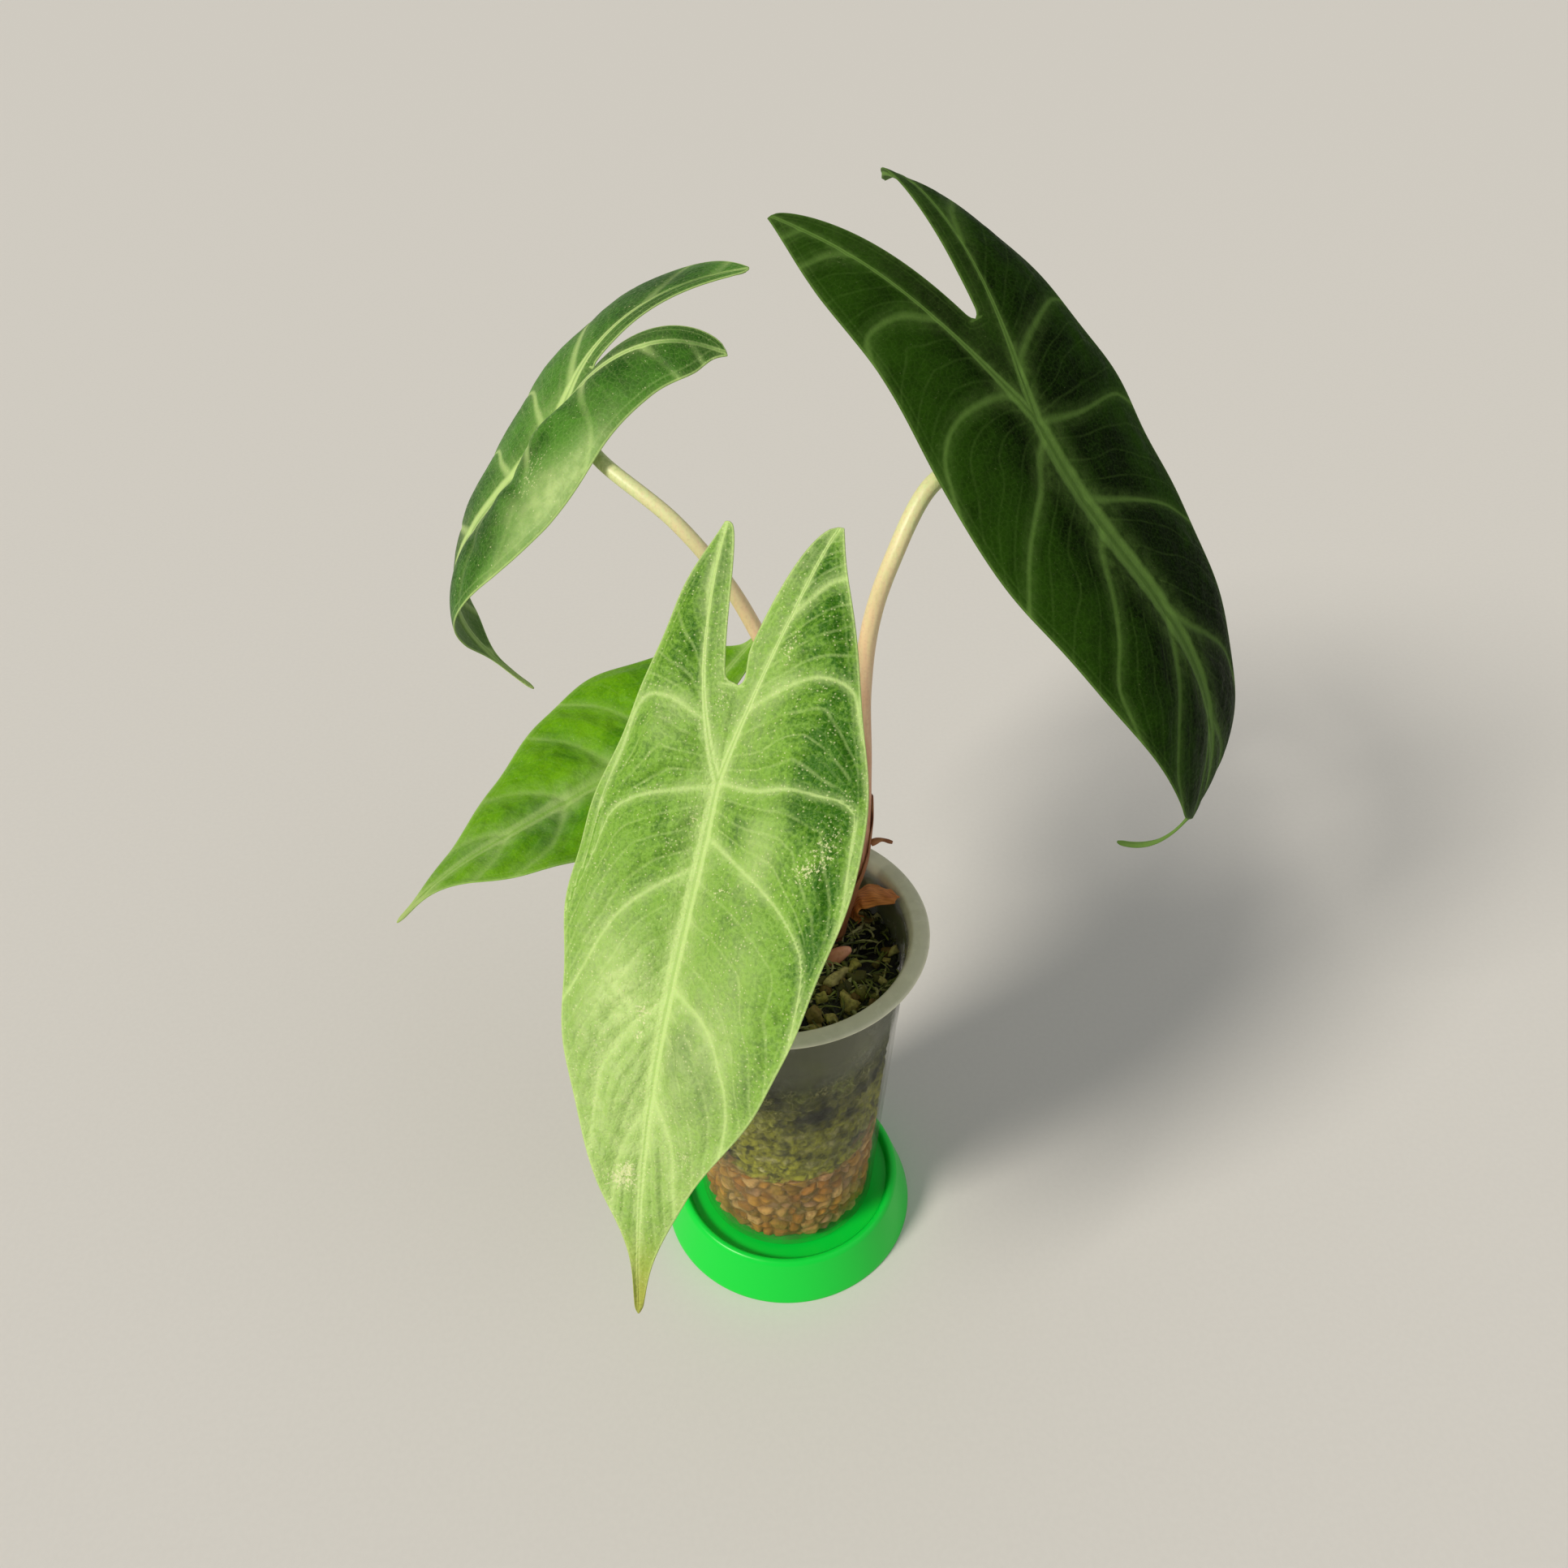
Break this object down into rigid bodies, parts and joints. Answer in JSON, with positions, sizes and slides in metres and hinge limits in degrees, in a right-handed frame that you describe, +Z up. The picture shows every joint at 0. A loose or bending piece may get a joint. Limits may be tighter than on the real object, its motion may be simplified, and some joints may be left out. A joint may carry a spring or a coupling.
{
  "type": "potted variegated nairobi nights alocasia",
  "caption": "Young speckled alocasia with long heart-shaped leaves on slender stems, in a clear nursery pot of clay granules and moss on a round saucer.",
  "frame": {"origin": "middle of the whole plant's footprint on the surface it stands on, level with the saucer's rim; the pot's axis stands at X -16.9 mm, Y -12.0 mm", "axes": "+Z up along the pot's axis, +X to the right and +Y away as the front leaf is seen from the front"},
  "size_m": [0.206, 0.207, 0.2822],
  "materials": {
    "saucer": "glossy bright green plastic",
    "pot": "thin clear plastic, milky with lime and algae",
    "clay_granules": "dull baked clay",
    "moss": "damp fibrous moss with small stones",
    "corm": "dull brown corm and roots",
    "leaf_front": "satin living leaf with pale veins and speckles",
    "leaf_upper_right": "satin living leaf with pale veins and speckles",
    "leaf_upper_left": "satin living leaf with pale veins and speckles",
    "leaf_lower_left": "satin living leaf with pale veins and speckles",
    "stem": "smooth fleshy stem",
    "sheath": "dry papery sheath",
    "sheath_pale": "dry papery sheath",
    "new_shoot": "smooth fleshy shoot"
  },
  "bodies": {
    "root": {"saucer": "saucer", "pot": "pot", "clay_granules": "clay_granules", "moss": "moss", "corm": "corm", "blade_front": "leaf_front", "stem_front": "stem", "blade_upper_right": "leaf_upper_right", "stem_upper_right": "stem", "blade_upper_left": "leaf_upper_left", "stem_upper_left": "stem", "blade_lower_left": "leaf_lower_left", "stem_lower_left": "stem", "sheath_upright": "sheath", "sheath_lying": "sheath_pale", "new_shoot": "new_shoot"}
  },
  "joints": []
}
